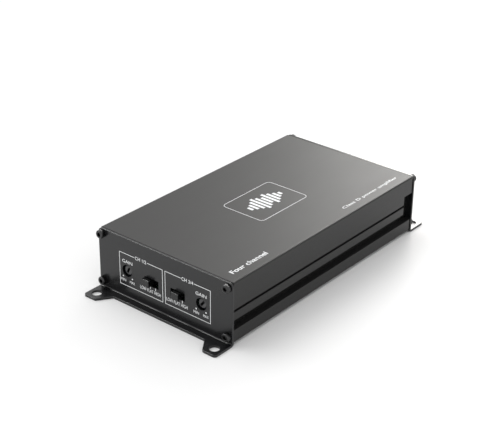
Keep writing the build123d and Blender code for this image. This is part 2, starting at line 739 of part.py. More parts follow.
def chips(spots, body, legs):
    """Flat packages on the main board, with bent legs along both long sides."""
    wide, long, tall = body
    with BuildPart() as packages:
        for x, y in spots:
            slab(floor(board_high + stand_off), (x, y), (wide, long), tall)
            for i in range(legs // 2):
                leg_y = y + (i - (legs / 2 - 1) / 2) * leg_pitch
                for side in (-1, 1):
                    shoulder_x = x + side * (wide + leg_shoulder) / 2
                    foot_x = x + side * (wide / 2 + leg_shoulder)
                    slab(floor(board_high + leg_high), (shoulder_x, leg_y), (leg_shoulder, leg_width),
                         leg_thick)
                    slab(floor(board_high), (foot_x, leg_y), (leg_width, leg_width), leg_high + leg_thick)
    return packages.part


for name, group in (("amplifier", power_chips), ("signal", small_chips)):
    mounted = chips(*group)
    with BuildPart() as chip_group:
        add(mounted)

    chip_group.part.label = f"{name}_chips"
    export_step(chip_group.part, f"parts/{name}_chips.step")
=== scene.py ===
import math

import bmesh
import bpy
from mathutils import Matrix, Vector


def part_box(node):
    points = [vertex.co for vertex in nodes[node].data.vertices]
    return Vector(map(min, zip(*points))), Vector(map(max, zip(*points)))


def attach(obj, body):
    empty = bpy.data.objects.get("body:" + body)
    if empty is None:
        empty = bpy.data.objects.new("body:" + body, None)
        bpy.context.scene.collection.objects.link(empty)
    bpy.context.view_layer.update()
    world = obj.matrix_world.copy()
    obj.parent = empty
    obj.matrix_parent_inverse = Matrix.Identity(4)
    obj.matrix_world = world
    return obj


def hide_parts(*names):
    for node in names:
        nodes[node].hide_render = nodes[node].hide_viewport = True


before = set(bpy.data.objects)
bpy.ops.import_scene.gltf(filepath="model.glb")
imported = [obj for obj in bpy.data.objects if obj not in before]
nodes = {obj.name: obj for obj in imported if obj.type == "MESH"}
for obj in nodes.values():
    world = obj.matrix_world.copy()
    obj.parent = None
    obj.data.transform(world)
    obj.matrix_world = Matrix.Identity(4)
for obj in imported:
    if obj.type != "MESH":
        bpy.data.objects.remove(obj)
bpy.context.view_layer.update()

# A compact car amplifier. Metres, in the CAD model's frame: X is the width, Y the length with
# the control plate facing -Y, Z is up from the mounting plane.

MM = 0.001


# ---------------------------------------------------------------- materials


class Finish:
    """A node material. Its methods make patterns and give them to colour, roughness and relief."""

    def __init__(self, name, roughness, metallic=0.0, specular=0.5, coat=0.0):
        self.material = bpy.data.materials.new(name)
        self.material.use_nodes = True
        self.tree = self.material.node_tree
        self.shader = self.tree.nodes["Principled BSDF"]
        self.shader.inputs["Metallic"].default_value = metallic
        self.shader.inputs["Specular IOR Level"].default_value = specular
        self.shader.inputs["Coat Weight"].default_value = coat
        self.shader.inputs["Coat Roughness"].default_value = 0.1
        self.shader.inputs["Roughness"].default_value = roughness
        self.place = self.node("ShaderNodeTexCoord").outputs["Object"]
        self.normal = None

    def node(self, kind, **values):
        made = self.tree.nodes.new(kind)
        for key, value in values.items():
            setattr(made, key, value)
        return made

    def link(self, source, target):
        self.tree.links.new(source, target)

    def noise(self, size, detail=3.0, stretch=(1, 1, 1)):
        """Noise with features of about that size, in metres, stretched along each axis."""
        mapping = self.node("ShaderNodeMapping")
        mapping.inputs["Scale"].default_value = [1 / (size * s) for s in stretch]
        self.link(self.place, mapping.inputs["Vector"])
        texture = self.node("ShaderNodeTexNoise")
        texture.inputs["Scale"].default_value = 1.0
        texture.inputs["Detail"].default_value = detail
        self.link(mapping.outputs["Vector"], texture.inputs["Vector"])
        return texture.outputs["Fac"]

    def ramp(self, value, low, high, out_low=0.0, out_high=1.0):
        """value rescaled from low..high to out_low..out_high, clamped."""
        made = self.node("ShaderNodeMapRange", clamp=True)
        made.inputs["From Min"].default_value = low
        made.inputs["From Max"].default_value = high
        made.inputs["To Min"].default_value = out_low
        made.inputs["To Max"].default_value = out_high
        self.link(value, made.inputs["Value"])
        return made.outputs["Result"]

    def inverse(self, value):
        """1 - value, for a value from 0 to 1."""
        return self.ramp(value, 0, 1, 1.0, 0.0)

    def mix(self, factor, first, second):
        """A colour between first and second, each a colour or another node's output."""
        made = self.node("ShaderNodeMix", data_type="RGBA")
        self.link(factor, made.inputs["Factor"])
        for socket, colour in ((made.inputs[6], first), (made.inputs[7], second)):
            if isinstance(colour, tuple):
                socket.default_value = (*colour, 1)
            else:
                self.link(colour, socket)
        return made.outputs[2]

    def math(self, operation, first, second):
        """The sum, product or maximum of two values, each a number or another node's output."""
        made = self.node("ShaderNodeMath", operation=operation)
        for socket, value in zip(made.inputs, (first, second)):
            if isinstance(value, (int, float)):
                socket.default_value = value
            else:
                self.link(value, socket)
        return made.outputs["Value"]

    def along(self, axis):
        """The place along one axis, in metres."""
        made = self.node("ShaderNodeSeparateXYZ")
        self.link(self.place, made.inputs["Vector"])
        return made.outputs[axis]

    def facing_up(self):
        """The Z of the surface's normal: 1 on a face that looks straight up."""
        split = self.node("ShaderNodeSeparateXYZ")
        self.link(self.node("ShaderNodeNewGeometry").outputs["True Normal"], split.inputs["Vector"])
        return split.outputs["Z"]

    def colour(self, source):
        self.link(source, self.shader.inputs["Base Color"])

    def roughness(self, source):
        self.link(source, self.shader.inputs["Roughness"])

    def bump(self, height, depth):
        """Adds relief, depth metres from its lowest to its highest point, over what is there."""
        made = self.node("ShaderNodeBump")
        made.inputs["Strength"].default_value = 1.0
        made.inputs["Distance"].default_value = depth
        self.link(height, made.inputs["Height"])
        if self.normal is not None:
            self.link(self.normal, made.inputs["Normal"])
        self.normal = made.outputs["Normal"]
        self.link(self.normal, self.shader.inputs["Normal"])


def shade(colour, factor):
    """A colour made darker or lighter by a factor."""
    return tuple(min(1.0, c * factor) for c in colour)


def paint(name, colour, roughness, grain, specular=0.5, blasted=0.0):
    """Sprayed paint: fine orange peel, faint clouding and a few rubbed and dusty patches.

    blasted is how much rougher the faces that look up are."""
    f = Finish(name, roughness, specular=specular)
    clouds = f.ramp(f.noise(0.03, detail=4), 0.3, 0.7)
    speckle = f.ramp(f.noise(0.0004, detail=2), 0.35, 0.65)
    base = f.mix(clouds, shade(colour, 0.96), shade(colour, 1.04))
    f.colour(f.mix(f.ramp(speckle, 0, 1, 0, 0.35), base, shade(colour, 1.12)))
    smears = f.noise(0.012, detail=5, stretch=(1, 3, 1))
    satin = f.ramp(smears, 0.25, 0.75, roughness - 0.01, roughness + 0.015)
    if blasted:
        satin = f.math("ADD", satin, f.ramp(f.facing_up(), 0.3, 0.9, 0.0, blasted))
    f.roughness(satin)
    f.bump(f.noise(0.0011, detail=2), grain)
    f.bump(f.noise(0.00025, detail=2), grain / 3)
    return f


def plastic(name, colour, roughness, grain=6e-6, size=0.0005):
    """Moulded plastic: a fine spark-eroded texture, slight flow marks."""
    f = Finish(name, roughness)
    flow = f.ramp(f.noise(0.006, detail=3, stretch=(1, 2, 1)), 0.3, 0.7)
    f.colour(f.mix(flow, shade(colour, 0.92), shade(colour, 1.1)))
    f.roughness(f.ramp(f.noise(0.003, detail=4), 0.3, 0.7, roughness - 0.05, roughness + 0.07))
    f.bump(f.noise(size, detail=3), grain)
    return f


def metal(name, colour, roughness, stretch=(1, 1, 1), depth=3e-6, tarnish=0.85):
    """Bare or plated metal: fine tool marks, and colour that dulls in patches."""
    f = Finish(name, roughness, metallic=1.0)
    patches = f.ramp(f.noise(0.004, detail=5), 0.35, 0.7)
    f.colour(f.mix(patches, colour, shade(colour, tarnish)))
    marks = f.noise(0.0004, detail=3, stretch=stretch)
    f.roughness(f.ramp(marks, 0.3, 0.7, roughness - 0.06, roughness + 0.08))
    f.bump(marks, depth)
    return f


HOUSING_GREY = (0.0062, 0.0060, 0.0056)
PLATE_GREY = (0.0050, 0.0052, 0.0058)

housing_paint = paint("housing_paint", HOUSING_GREY, 0.24, 5e-6, specular=0.36, blasted=0.27)
plate_paint = paint("plate_paint", PLATE_GREY, 0.26, 4e-6)
cover_paint = paint("cover_paint", (0.05, 0.05, 0.05), 0.45, 6e-6)

black_plastic = plastic("black_plastic", (0.012, 0.012, 0.013), 0.42)
knob_plastic = plastic("knob_plastic", (0.004, 0.004, 0.0042), 0.24, grain=3e-6)
pot_plastic = plastic("pot_plastic", (0.02, 0.025, 0.045), 0.5)
white_plastic = plastic("white_plastic", (0.78, 0.78, 0.74), 0.32, grain=3e-6)
red_plastic = plastic("red_plastic", (0.5, 0.02, 0.015), 0.32, grain=3e-6)
orange_plastic = plastic("orange_plastic", (0.75, 0.16, 0.012), 0.22, grain=2e-6)
resin_red = plastic("resin_red", (0.3, 0.03, 0.02), 0.2, grain=8e-6, size=0.0015)
silicone = plastic("silicone", (0.32, 0.36, 0.38), 0.7, grain=8e-6)
film_sheet = plastic("film_sheet", (0.55, 0.5, 0.38), 0.6, grain=1.2e-5, size=0.0012)
ferrite = plastic("ferrite", (0.035, 0.035, 0.037), 0.65, grain=1.5e-5, size=0.0006)
lens_green = plastic("lens_green", (0.10, 0.55, 0.16), 0.12, grain=1e-6)
lens_green.shader.inputs["Transmission Weight"].default_value = 0.5

black_oxide = metal("black_oxide", (0.07, 0.07, 0.071), 0.26, depth=4e-6, tarnish=0.7)
plated_steel = metal("plated_steel", (0.5, 0.49, 0.47), 0.3, stretch=(8, 1, 1))
nickel = metal("nickel", (0.66, 0.63, 0.56), 0.2, stretch=(1, 8, 1), depth=1.5e-6)
tinned = metal("tinned", (0.6, 0.59, 0.55), 0.32)


def shaft_finish():
    """Dark grey moulded shaft. Its slot, which lies behind the end face, is painted near black and
    made rougher: painted shade.
    """
    f = Finish("shaft_plastic", 0.25)
    end_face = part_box("level_pot_shaft_left")[0].y
    # the slot behind the end face is painted near black: painted shade in the recess
    behind = f.ramp(f.along("Y"), end_face + 0.1 * MM, end_face + 0.5 * MM)
    flow = f.ramp(f.noise(0.003, detail=3), 0.3, 0.7)
    grey = f.mix(flow, (0.042, 0.042, 0.044), (0.052, 0.052, 0.054))
    f.colour(f.mix(behind, grey, (0.002, 0.002, 0.002)))
    f.roughness(f.ramp(behind, 0, 1, 0.25, 0.8))
    f.bump(f.noise(0.0005, detail=3), 3e-6)
    return f


def switch_finish():
    """Brushed steel frames. Their fronts, and their insides behind the knobs, are painted near
    black, matt and not metallic: painted shade in the windows.
    """
    f = Finish("switch_steel", 0.3)
    front_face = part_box("filter_switch_body_left")[0].y
    front = f.ramp(f.along("Y"), front_face + 0.2 * MM, front_face + 0.3 * MM, 1.0, 0.0)
    low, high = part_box("filter_switch_knob_left")
    above_floor = f.ramp(f.along("Z"), low.z - 0.3 * MM, low.z - 0.2 * MM)
    under_lid = f.ramp(f.along("Z"), high.z + 0.2 * MM, high.z + 0.3 * MM, 1.0, 0.0)
    # the fronts and the insides behind the knobs are painted near black: painted shade, not a
    # material of the switch
    painted_shade = f.math("MAXIMUM", front, f.math("MULTIPLY", above_floor, under_lid))
    bare = f.inverse(painted_shade)
    patches = f.ramp(f.noise(0.004, detail=5), 0.35, 0.7)
    steel = f.mix(patches, (0.5, 0.49, 0.47), (0.42, 0.41, 0.4))
    f.colour(f.mix(painted_shade, steel, (0.004, 0.004, 0.004)))
    f.link(bare, f.shader.inputs["Metallic"])
    matt = f.ramp(f.noise(0.0004, detail=3), 0.3, 0.7, 0.6, 0.85)
    marks = f.noise(0.0004, detail=3, stretch=(8, 1, 1))
    brushed = f.ramp(marks, 0.3, 0.7, 0.24, 0.38)
    f.roughness(f.math("ADD", f.math("MULTIPLY", matt, painted_shade), f.math("MULTIPLY", brushed, bare)))
    f.bump(marks, 3e-6)
    return f


# divided by a distance, it is the wave texture's Scale for bands that far apart
WAVE_SCALE = math.pi / 10


def board_finish():
    """Green solder resist over copper, with tinned pads in a grid.

    The copper lies in square fields. Each is tracks along X, tracks along Y or a solid pour."""
    f = Finish("board_laminate", 0.35)
    fields = f.node("ShaderNodeTexVoronoi", feature="F1", distance="CHEBYCHEV")
    fields.inputs["Scale"].default_value = 1 / (9 * MM)
    f.link(f.place, fields.inputs["Vector"])
    draw = f.node("ShaderNodeSeparateColor")
    f.link(fields.outputs["Color"], draw.inputs["Color"])
    tracks = []
    for direction in ("X", "Y"):
        waves = f.node("ShaderNodeTexWave", wave_type="BANDS", bands_direction=direction)
        waves.inputs["Scale"].default_value = WAVE_SCALE / (1.8 * MM)
        f.link(f.place, waves.inputs["Vector"])
        tracks.append(f.ramp(waves.outputs["Fac"], 0.4, 0.5))
    across = f.ramp(draw.outputs["Red"], 0.4, 0.41)
    pour = f.ramp(draw.outputs["Red"], 0.72, 0.73)
    lines = f.math("ADD", f.math("MULTIPLY", tracks[0], across),
                   f.math("MULTIPLY", tracks[1], f.inverse(across)))
    copper = f.math("MAXIMUM", lines, pour)
    green = f.mix(copper, (0.008, 0.05, 0.018), (0.014, 0.1, 0.03))
    pads = f.node("ShaderNodeTexVoronoi", feature="F1")
    pads.inputs["Scale"].default_value = 1 / (2.54 * MM)
    pads.inputs["Randomness"].default_value = 0.15
    f.link(f.place, pads.inputs["Vector"])
    tin = f.ramp(pads.outputs["Distance"], 0.16, 0.2, 1.0, 0.0)
    groups = f.ramp(f.noise(0.012, detail=1), 0.52, 0.56)
    mask = f.math("MULTIPLY", tin, groups)
    f.colour(f.mix(mask, green, (0.55, 0.54, 0.5)))
    f.roughness(f.ramp(f.noise(0.002), 0.3, 0.7, 0.28, 0.45))
    f.bump(copper, 3e-5)
    f.bump(mask, 4e-5)
    return f


def sleeve_finish():
    """Dark shrunk sleeve on the capacitors, round their bare aluminium tops."""
    f = Finish("capacitor_sleeve", 0.3)
    bare = f.ramp(f.facing_up(), 0.98, 0.99)
    ripples = f.noise(0.0025, detail=2, stretch=(1, 1, 4))
    sleeve = f.mix(f.ramp(ripples, 0.3, 0.7), (0.012, 0.014, 0.024), (0.02, 0.023, 0.036))
    f.colour(f.mix(bare, sleeve, (0.6, 0.6, 0.6)))
    f.link(bare, f.shader.inputs["Metallic"])
    f.roughness(f.ramp(f.noise(0.003), 0.3, 0.7, 0.22, 0.4))
    f.bump(ripples, 2e-5)
    return f


def enamel_finish():
    """Enamelled copper wire."""
    f = Finish("enamelled_copper", 0.25, metallic=0.85, coat=0.6)
    f.colour(f.mix(f.ramp(f.noise(0.002), 0.3, 0.7), (0.42, 0.13, 0.035), (0.55, 0.2, 0.06)))
    f.roughness(f.ramp(f.noise(0.001), 0.3, 0.7, 0.18, 0.34))
    f.bump(f.noise(0.0003), 3e-6)
    return f


shaft_plastic = shaft_finish()
switch_steel = switch_finish()
board_laminate = board_finish()
capacitor_sleeve = sleeve_finish()
enamelled_copper = enamel_finish()

FINISHES = {
    housing_paint: ["housing"],
    plate_paint: ["front_plate", "rear_plate"],
    cover_paint: ["base_cover"],
    black_oxide: ["front_plate_screws", "rear_plate_screws"],
    knob_plastic: ["filter_switch_knob_left", "filter_switch_knob_right"],
    shaft_plastic: ["level_pot_shaft_left", "level_pot_shaft_right"],
    black_plastic: ["board_link_header", "speaker_socket", "power_terminal_block", "fuse_holder",
                    "power_transistors", "amplifier_chips", "signal_chips", "rca_block"],
    pot_plastic: ["level_pot_body_left", "level_pot_body_right"],
    white_plastic: ["rca_insulators_white"],
    red_plastic: ["rca_insulators_red"],
    orange_plastic: ["fuse_body"],
    lens_green: ["power_light"],
    silicone: ["thermal_pads"],
    film_sheet: ["insulation_sheet"],
    ferrite: ["transformer_core", "input_choke_core", "output_inductor_cores"],
    resin_red: ["film_capacitors"],
    switch_steel: ["filter_switch_body_left", "filter_switch_body_right"],
    plated_steel: ["clamp_bars", "clamp_screws", "power_terminal_screws"],
    nickel: ["rca_shells", "rca_contacts", "power_terminal_clamps"],
    tinned: ["speaker_pins", "fuse_blades", "power_light_leads"],
    board_laminate: ["main_board", "control_board"],
    capacitor_sleeve: ["rail_capacitors", "input_capacitors", "signal_capacitors"],
    enamelled_copper: ["transformer_windings", "input_choke_winding", "output_inductor_windings"],
}
for finish, names in FINISHES.items():
    for name in names:
        nodes[name].material_slots[0].material = finish.material


# ---------------------------------------------------------------- screws and wound wire


def lathe(mesh, profile, sides, matrix, shape=None):
    """Turns a profile of (radius, height) pairs about Z.

    shape(i, radius) may change the radius at corner i."""
    rings = []
    for radius, height in profile:
        if radius == 0:
            rings.append([mesh.verts.new(matrix @ Vector((0, 0, height)))])
            continue
        ring = []
        for i in range(sides):
            angle = 2 * math.pi * i / sides
            r = shape(i, radius) if shape else radius
            corner = Vector((r * math.cos(angle), r * math.sin(angle), height))
            ring.append(mesh.verts.new(matrix @ corner))
        rings.append(ring)
    for low, high in zip(rings, rings[1:]):
        for i in range(sides):
            j = (i + 1) % sides
            corners = [low[i % len(low)], low[j % len(low)],
                       high[j % len(high)], high[i % len(high)]]
            corners = [c for k, c in enumerate(corners) if c not in corners[:k]]
            if len(corners) > 2:
                mesh.faces.new(corners)


SMOOTH_ANGLE = math.radians(35)


def mesh_piece(name, mesh, finish, body, replaced):
    """Finishes a bmesh as a piece that rides on a body and stands for CAD nodes."""
    bmesh.ops.recalc_face_normals(mesh, faces=mesh.faces)
    data = bpy.data.meshes.new(name)
    mesh.to_mesh(data)
    mesh.free()
    data.materials.append(finish.material)
    data.polygons.foreach_set("use_smooth", [True] * len(data.polygons))
    data.set_sharp_from_angle(angle=SMOOTH_ANGLE)
    piece = bpy.data.objects.new(name, data)
    bpy.context.scene.collection.objects.link(piece)
    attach(piece, body)
    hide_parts(*replaced)


# an M3 socket-head cap screw
HEAD_RADIUS, HEAD_HEIGHT = 2.75 * MM, 3.0 * MM
KNURLS = 40
HEAD_SIDES = 6 * KNURLS
GROOVE, GROOVE_FLANK = 0.09 * MM, 0.035 * MM  # depths of a knurl's groove
HEX_ACROSS, HEX_DEPTH = 2.5 * MM, 1.6 * MM
HEX_RIM = HEX_ACROSS / 2 + 0.32 * MM  # radius where the flat top ends
DRILL_RADIUS = 0.9 * MM
SEAT_RADIUS = HEAD_RADIUS - 0.35 * MM
THREAD_PITCH, THREAD_CORE, THREAD_CREST = 0.5 * MM, 1.25 * MM, 1.48 * MM
THREAD_LENGTH, SHANK_LENGTH = 11.5 * MM, 12 * MM
THREAD_SIDES = 48


def knurl(i, radius):
    """Radius of the knurled head at corner i."""
    return radius - {0: GROOVE, 5: GROOVE, 1: GROOVE_FLANK, 4: GROOVE_FLANK}.get(i % 6, 0)


def hexagon(i, across_flats):
    """Radius of a hexagon's outline in the direction of corner i."""
    angle = 2 * math.pi * i / HEAD_SIDES % (math.pi / 3) - math.pi / 6
    return across_flats / 2 / math.cos(angle)


def cap_screw(mesh, place, outward, turn):
    """A knurled head, a deep hexagon with a drill point, and a threaded shank."""
    facing = Vector(outward).to_track_quat("Z", "Y").to_matrix().to_4x4()
    matrix = Matrix.Translation(place) @ facing @ Matrix.Rotation(turn, 4, "Z")
    shoulder = HEAD_HEIGHT - 0.55 * MM
    outline = [(SEAT_RADIUS, 0), (HEAD_RADIUS - 0.08 * MM, 0), (HEAD_RADIUS, 0.15 * MM),
               (HEAD_RADIUS, shoulder)]
    lathe(mesh, outline, HEAD_SIDES, matrix, knurl)
    crown = [(HEAD_RADIUS, shoulder), (HEAD_RADIUS - 0.12 * MM, HEAD_HEIGHT - 0.3 * MM),
             (HEAD_RADIUS - 0.3 * MM, HEAD_HEIGHT - 0.1 * MM),
             (HEAD_RADIUS - 0.5 * MM, HEAD_HEIGHT - 0.02 * MM),
             (HEAD_RADIUS - 0.7 * MM, HEAD_HEIGHT), (HEX_RIM, HEAD_HEIGHT)]
    lathe(mesh, crown, HEAD_SIDES, matrix, lambda i, r: knurl(i, r) if r == HEAD_RADIUS else r)

    floor = HEAD_HEIGHT - HEX_DEPTH
    socket = [(HEX_RIM, HEAD_HEIGHT), (HEX_ACROSS / 2 + 0.04 * MM, HEAD_HEIGHT - 0.08 * MM),
              (HEX_ACROSS / 2, HEAD_HEIGHT - 0.2 * MM), (HEX_ACROSS / 2, floor)]
    lathe(mesh, socket, HEAD_SIDES, matrix, lambda i, r: r if r == HEX_RIM else hexagon(i, 2 * r))
    drill_edge = (DRILL_RADIUS, floor - 0.02 * MM)
    lathe(mesh, [(HEX_ACROSS / 2, floor), drill_edge], HEAD_SIDES, matrix,
          lambda i, r: hexagon(i, 2 * r) if r == HEX_ACROSS / 2 else r)
    lathe(mesh, [drill_edge, (0, floor - 0.35 * MM)], HEAD_SIDES, matrix)

    thread = [(SEAT_RADIUS, 0), (THREAD_CREST, 0)]
    for i in range(int(THREAD_LENGTH / THREAD_PITCH)):
        for radius, share in ((THREAD_CREST, 0.1), (THREAD_CORE, 0.5), (THREAD_CREST, 0.9)):
            thread.append((radius, -(i + share) * THREAD_PITCH))
    thread += [(THREAD_CORE, -SHANK_LENGTH), (0, -SHANK_LENGTH)]
    lathe(mesh, thread, THREAD_SIDES, matrix)


low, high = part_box("front_plate_screws")
front_y = low.y + HEAD_HEIGHT  # outer faces of the two plates
rear_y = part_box("rear_plate_screws")[1].y - HEAD_HEIGHT
screw_x = high.x - HEAD_RADIUS
screw_z = (low.z + HEAD_RADIUS, high.z - HEAD_RADIUS)
FIRST_TURN, NEXT_TURN = 0.7, 1.9  # the four screws of a plate stop at different angles
for name, y, outward in (("front_plate_screws", front_y, (0, -1, 0)),
                         ("rear_plate_screws", rear_y, (0, 1, 0))):
    screws = bmesh.new()
    for i, (x, z) in enumerate([(x, z) for z in screw_z for x in (-screw_x, screw_x)]):
        cap_screw(screws, (x, y, z), outward, turn=FIRST_TURN + NEXT_TURN * i)
    mesh_piece(name.replace("screws", "cap_screws"), screws, black_oxide,
               "chassis", [name])


CORNER_STEPS = 3  # straight bits in each corner of a turn of wire
WIRE_SIDES = 8


class Coil:
    """Round wire wound in open turns on a ring core that lies flat."""

    def __init__(self, wire, turns, arc, windings=1):
        self.wire, self.arc = wire * MM, math.radians(arc)
        self.turns, self.windings = turns, windings

    def path(self, centre, outer, bore, low, high, start):
        """Points along the wire, round the core's rounded section again and again."""
        lift = self.wire / 2
        corner = self.wire
        inside, outside = bore - lift, outer + lift
        under, over = low - lift, high + lift
        section = []
        for quarter, (radius, height) in enumerate(((outside - corner, over - corner),
                                                    (inside + corner, over - corner),
                                                    (inside + corner, under + corner),
                                                    (outside - corner, under + corner))):
            for step in range(CORNER_STEPS + 1):
                angle = (quarter + step / CORNER_STEPS) * math.pi / 2
                section.append((radius + corner * math.cos(angle),
                                height + corner * math.sin(angle)))
        points = []
        count = self.turns * len(section)
        for i in range(count + 1):
            radius, height = section[i % len(section)]
            angle = start + self.arc * i / count
            point = Vector((radius * math.cos(angle), radius * math.sin(angle), height))
            points.append(centre + point)
        return points

    def wrap(self, mesh, centre, outer, bore, low, high):
        """Winds the core with each of the coil's windings, evenly spread."""
        for i in range(self.windings):
            margin = self.wire / bore
            start = margin + i * 2 * math.pi / self.windings
            points = self.path(centre, outer, bore, low, high, start)
            tube(mesh, points, self.wire / 2)


def tube(mesh, points, radius):
    """A closed round tube through points. Its section doesn't twist on the way."""
    angles = [2 * math.pi * k / WIRE_SIDES for k in range(WIRE_SIDES)]
    section = [Vector((radius * math.cos(t), radius * math.sin(t), 0)) for t in angles]
    turn = (points[1] - points[0]).to_track_quat("Z", "X")
    rings = []
    for i, point in enumerate(points):
        along = (points[min(i + 1, len(points) - 1)] - points[max(i - 1, 0)]).normalized()
        turn = (turn @ Vector((0, 0, 1))).rotation_difference(along) @ turn
        rings.append([mesh.verts.new(point + turn @ corner) for corner in section])
    for first, second in zip(rings, rings[1:]):
        for k in range(WIRE_SIDES):
            j = (k + 1) % WIRE_SIDES
            mesh.faces.new((first[k], first[j], second[j], second[k]))
    mesh.faces.new(rings[0])
    mesh.faces.new(rings[-1])


# the core, its winding, the core's bore and outer radius in millimetres, and the wire on it
WOUND = (
    ("transformer_core", "transformer_windings", 7.0, 15.0, Coil(1.7, 9, 142, windings=2)),
    ("input_choke_core", "input_choke_winding", 4.5, 9.0, Coil(1.3, 13, 290)),
    ("output_inductor_cores", "output_inductor_windings", 4.0, 8.0, Coil(1.1, 14, 290)),
)
for core, winding, bore, outer, coil in WOUND:
    low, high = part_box(core)
    bore, outer = bore * MM, outer * MM
    wires = bmesh.new()
    if high.x - low.x < 2.5 * outer:  # a single core
        spots = {((low.x + high.x) / 2, (low.y + high.y) / 2)}
    else:
        spots = {(x, y) for x in (low.x + outer, high.x - outer)
                 for y in (low.y + outer, high.y - outer)}
    for x, y in sorted(spots):
        coil.wrap(wires, Vector((x, y, 0)), outer, bore, low.z, high.z)
    mesh_piece(winding.replace("winding", "wire"), wires, enamelled_copper,
               "chassis", [winding])


# ---------------------------------------------------------------- print

roof_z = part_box("housing")[1].z
INK = 0.03 * MM  # how far print stands off the paint

# how a print's own right and up lie on the object
FRONT = Matrix(((1, 0, 0), (0, 0, -1), (0, 1, 0))).to_4x4()
ROOF_SIDEWAYS = Matrix(((0, -1, 0), (1, 0, 0), (0, 0, 1))).to_4x4()
REAR = Matrix(((-1, 0, 0), (0, 0, 1), (0, 1, 0))).to_4x4()


class Print:
    """Flat ink on one surface, gathered into one mesh. Places are in millimetres on the surface."""

    def __init__(self, name, matrix, origin):
        self.name = name
        self.matrix = Matrix.Translation(origin) @ matrix
        self.mesh = bmesh.new()

    def word(self, text, centre, height, width, weight=0.0):
        """Text of that height, centred. It is squeezed to a width, unless that is None.

        A weight makes it bolder."""
        curve = bpy.data.curves.new(text, "FONT")
        curve.body = text
        curve.align_x = "CENTER"
        curve.align_y = "CENTER"
        curve.size = 1.0
        curve.offset = weight
        curve.resolution_u = 6
        carrier = bpy.data.objects.new(text, curve)
        bpy.context.scene.collection.objects.link(carrier)
        bpy.context.view_layer.update()
        graph = bpy.context.evaluated_depsgraph_get()
        flat = bpy.data.meshes.new_from_object(carrier.evaluated_get(graph))
        bpy.data.objects.remove(carrier)
        xs = [v.co.x for v in flat.vertices]
        ys = [v.co.y for v in flat.vertices]
        scale_y = height / (max(ys) - min(ys))
        scale_x = scale_y if width is None else width / (max(xs) - min(xs))
        middle = Vector(((max(xs) + min(xs)) / 2, (max(ys) + min(ys)) / 2, 0))
        fit = (Matrix.Translation((*centre, 0)) @ Matrix.Diagonal((scale_x, scale_y, 1, 1))
               @ Matrix.Translation(-middle))
        flat.transform(fit)
        self.mesh.from_mesh(flat)
        bpy.data.meshes.remove(flat)

    def strip(self, points, width, closed=False):
        """A line of even width through points."""
        count = len(points)
        rails = []
        for i, point in enumerate(points):
            here = Vector(point)
            before = Vector(points[i - 1]) if i or closed else here
            after = Vector(points[(i + 1) % count]) if i < count - 1 or closed else here
            into, out = here - before, after - here
            into = into.normalized() if into.length else out.normalized()
            out = out.normalized() if out.length else into
            normal = Vector((-into.y - out.y, into.x + out.x)).normalized()
            # the corners are mitred, and a sharp one is kept short
            reach = width / 2 / max(0.3, normal.dot(Vector((-out.y, out.x))))
            rails.append([self.mesh.verts.new((*(here + side * reach * normal), 0))
                          for side in (1, -1)])
        for i in range(count if closed else count - 1):
            a, b = rails[i], rails[(i + 1) % count]
            self.mesh.faces.new((a[0], a[1], b[1], b[0]))

    def disc(self, centre, radius):
        """A round dot."""
        sides = 32
        ring = []
        for i in range(sides):
            angle = 2 * math.pi * i / sides
            ring.append(self.mesh.verts.new((centre[0] + radius * math.cos(angle),
                                             centre[1] + radius * math.sin(angle), 0)))
        self.mesh.faces.new(ring)

    def box(self, low, high):
        """A filled rectangle between two of its corners."""
        corners = ((low[0], low[1]), (high[0], low[1]), (high[0], high[1]), (low[0], high[1]))
        self.mesh.faces.new([self.mesh.verts.new((*c, 0)) for c in corners])

    def make(self, finish, body):
        """Gives the ink its thickness and its place."""
        mesh = self.mesh
        bmesh.ops.remove_doubles(mesh, verts=mesh.verts, dist=1e-5)
        bmesh.ops.triangulate(mesh, faces=mesh.faces)
        for face in mesh.faces:
            if face.normal.z < 0:
                face.normal_flip()
        solid = bmesh.ops.extrude_face_region(mesh, geom=mesh.faces[:])
        raised = [v for v in solid["geom"] if isinstance(v, bmesh.types.BMVert)]
        bmesh.ops.translate(mesh, verts=raised, vec=(0, 0, INK / MM))
        bmesh.ops.recalc_face_normals(mesh, faces=mesh.faces)
        data = bpy.data.meshes.new(self.name)
        mesh.to_mesh(data)
        mesh.free()
        data.transform(self.matrix @ Matrix.Scale(MM, 4))
        data.materials.append(finish.material)
        piece = bpy.data.objects.new(self.name, data)
        bpy.context.scene.collection.objects.link(piece)
        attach(piece, body)


ink_white = plastic("ink_white", (0.8, 0.81, 0.82), 0.5, grain=3e-6)

# the front plate: a panel of controls for each pair of channels
front_print = Print("front_print", FRONT, (0, front_y, 0))
LINE = 0.36
PANEL_TOP, PANEL_BASE = 31.3, 9.25
PANELS = ((-36.0, -0.6, "CH 1/2"), (1.5, 37.0, "CH 3/4"))  # left edge, right edge and title
TITLE_GAP = 5.2  # half of the gap in the outline
LEVEL_X = (-29.5, 29.8)
LEVEL_TITLE_Z, LEVEL_DOT_Z, LEVEL_WORD_Z = 26.0, 15.35, 12.8
LEVEL_DOT_OUT, LEVEL_WORD_OUT = 3.8, 3.75  # sideways from the shaft
SWITCH_X = (-10.7, 10.8)
SWITCH_WORD_Z, SWITCH_TICK_Z = 13.0, (14.5, 16.3)
SWITCH_STEP, TICK = 4.3, 0.5
for low, high, title in PANELS:
    middle = (low + high) / 2
    front_print.strip([(middle - TITLE_GAP, PANEL_TOP), (low, PANEL_TOP), (low, PANEL_BASE),
                       (high, PANEL_BASE), (high, PANEL_TOP),
                       (middle + TITLE_GAP, PANEL_TOP)], LINE)
    front_print.word(title, (middle, PANEL_TOP), 2.4, width=9.2, weight=0.01)
for x in LEVEL_X:
    front_print.word("GAIN", (x, LEVEL_TITLE_Z), 2.2, width=8.4)
    for side, text in ((-1, "MIN"), (1, "MAX")):
        front_print.disc((x + side * LEVEL_DOT_OUT, LEVEL_DOT_Z), 0.5)
        front_print.word(text, (x + side * LEVEL_WORD_OUT, LEVEL_WORD_Z), 1.8, width=4.2)
